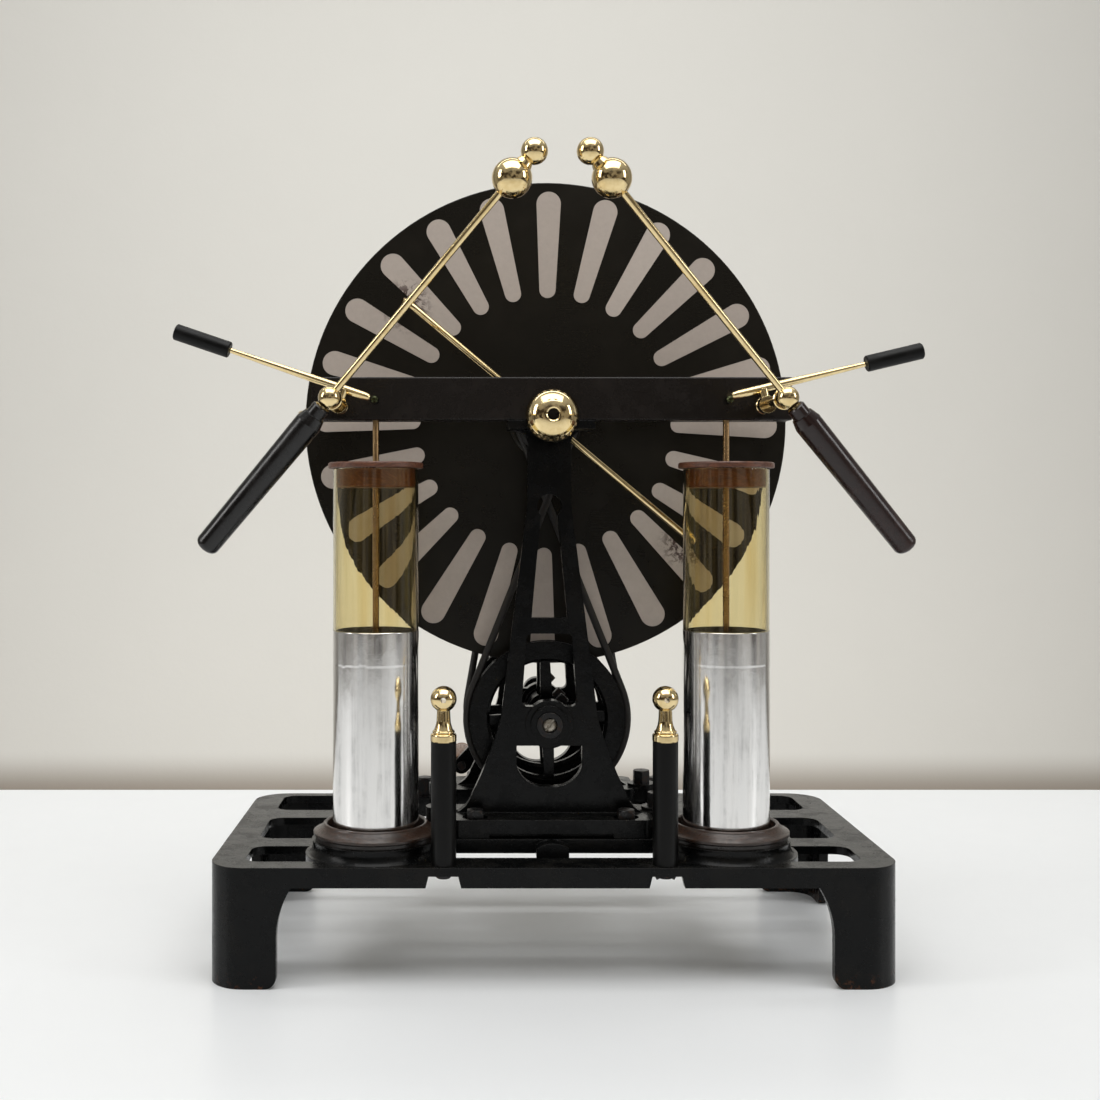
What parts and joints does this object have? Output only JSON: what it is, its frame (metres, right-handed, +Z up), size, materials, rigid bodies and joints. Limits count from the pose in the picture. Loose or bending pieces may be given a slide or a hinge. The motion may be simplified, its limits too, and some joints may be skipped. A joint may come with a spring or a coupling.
{
  "type": "wimshurst electrostatic machine",
  "caption": "Hand-cranked electrostatic machine: counter-rotating sectored discs on an iron stand, with Leyden jars and swinging spark-ball arms.",
  "frame": {"origin": "on the table, under the middle of the base and of the whole machine's box", "axes": "+Z up; -Y is the front, with the discharge arms and terminals; +Y is the rear, with the crank; +X is the operator's right seen from the front"},
  "size_m": [0.5735, 0.4463, 0.6277],
  "materials": {
    "black_iron": "black japanned casting, worn to metal along its edges",
    "black_steel": "blackened steel",
    "polished_brass": "polished and lacquered brass",
    "ebonite": "satin hard rubber",
    "gloss_ebonite": "turned and polished hard rubber",
    "disc_ebonite": "satin dark brown hard rubber sheet",
    "tin_sectors": "aged tin foil",
    "amber_glass": "clear varnished glass with an amber tint",
    "foil": "bright wrinkled foil",
    "lid_wood": "varnished red-brown wood",
    "turned_wood": "turned brown wood with dark wear",
    "grip_wood": "turned brown wood",
    "belt_leather": "dark round leather belting"
  },
  "bodies": {
    "stand": {"axle_knob": "polished_brass", "axle_nut": "polished_brass", "base_casting": "black_iron", "cross_bar": "ebonite", "disc_axle": "black_steel", "front_belt": "belt_leather", "front_cross_rail": "black_iron", "front_upright": "black_iron", "jar_base_rings": "turned_wood", "jar_inner_foils": "foil", "jar_lids": "lid_wood", "jar_rods": "polished_brass", "left_collector": "polished_brass", "left_conductor": "polished_brass", "left_jar_glass": "amber_glass", "left_outer_foil": "foil", "rail_bolts": "black_steel", "rear_belt": "belt_leather", "rear_cross_rail": "black_iron", "rear_upright": "black_iron", "right_collector": "polished_brass", "right_conductor": "polished_brass", "right_jar_glass": "amber_glass", "right_outer_foil": "foil", "shaft_bushes": "polished_brass", "terminal_heads": "polished_brass", "terminal_nuts": "black_steel", "terminal_posts": "ebonite", "upright_bolts": "black_steel"},
    "drive": {"drive_shaft": "black_steel", "shaft_end_screw": "polished_brass", "front_drive_wheel": "black_iron", "rear_drive_wheel": "black_iron", "set_screws": "black_steel", "crank_arm": "black_iron", "crank_pin": "black_steel"},
    "grip": {"crank_grip": "grip_wood"},
    "front_disc_assembly": {"front_disc": "disc_ebonite", "front_sectors": "tin_sectors", "front_hub_pulley": "disc_ebonite"},
    "rear_disc_assembly": {"rear_disc": "disc_ebonite", "rear_sectors": "tin_sectors", "rear_hub_pulley": "disc_ebonite"},
    "front_neutralizer": {"front_neutralizer_rod": "polished_brass", "front_brushes": "polished_brass"},
    "rear_neutralizer": {"rear_neutralizer_rod": "polished_brass", "rear_brushes": "polished_brass"},
    "left_arm": {"left_joint_ball": "polished_brass", "left_discharge_rod": "polished_brass", "left_spark_balls": "polished_brass", "left_arm_handle": "gloss_ebonite"},
    "left_lever": {"left_lever_rod": "polished_brass", "left_lever_handle": "ebonite"},
    "right_arm": {"right_joint_ball": "polished_brass", "right_discharge_rod": "polished_brass", "right_spark_balls": "polished_brass", "right_arm_handle": "gloss_ebonite"},
    "right_lever": {"right_lever_rod": "polished_brass", "right_lever_handle": "ebonite"}
  },
  "joints": [
    {"name": "crank_turn", "type": "hinge", "parent": "stand", "child": "drive", "pos_m": [0, 0, 0.185], "axis": [0, 1, 0], "continuous": true},
    {"name": "grip_spin", "type": "hinge", "parent": "drive", "child": "grip", "pos_m": [-0.07071, 0.18, 0.11429], "axis": [0, 1, 0], "continuous": true},
    {"name": "front_disc_spin", "type": "hinge", "parent": "stand", "child": "front_disc_assembly", "pos_m": [0, 0, 0.4277], "axis": [0, 1, 0], "continuous": true},
    {"name": "rear_disc_spin", "type": "hinge", "parent": "stand", "child": "rear_disc_assembly", "pos_m": [0, 0, 0.4277], "axis": [0, 1, 0], "continuous": true},
    {"name": "front_neutralizer_swing", "type": "hinge", "parent": "stand", "child": "front_neutralizer", "pos_m": [0, 0, 0.4277], "axis": [0, 1, 0], "range_deg": [-20, 20]},
    {"name": "rear_neutralizer_swing", "type": "hinge", "parent": "stand", "child": "rear_neutralizer", "pos_m": [0, 0, 0.4277], "axis": [0, 1, 0], "range_deg": [-20, 20]},
    {"name": "left_arm_swing", "type": "hinge", "parent": "stand", "child": "left_arm", "pos_m": [-0.1636, -0.173, 0.4355], "axis": [0, -1, 0], "range_deg": [-3, 35]},
    {"name": "right_arm_swing", "type": "hinge", "parent": "stand", "child": "right_arm", "pos_m": [0.1636, -0.173, 0.4355], "axis": [0, 1, 0], "range_deg": [-3, 35]},
    {"name": "left_lever_swing", "type": "hinge", "parent": "stand", "child": "left_lever", "pos_m": [-0.1636, -0.104, 0.4355], "axis": [0, 1, 0], "range_deg": [-35, 40]},
    {"name": "right_lever_swing", "type": "hinge", "parent": "stand", "child": "right_lever", "pos_m": [0.1636, -0.104, 0.4355], "axis": [0, -1, 0], "range_deg": [-35, 40]}
  ],
  "couplings": [
    {"joint": "front_disc_spin", "follows": "crank_turn", "ratio": -2.7375},
    {"joint": "rear_disc_spin", "follows": "crank_turn", "ratio": 2.7375}
  ]
}
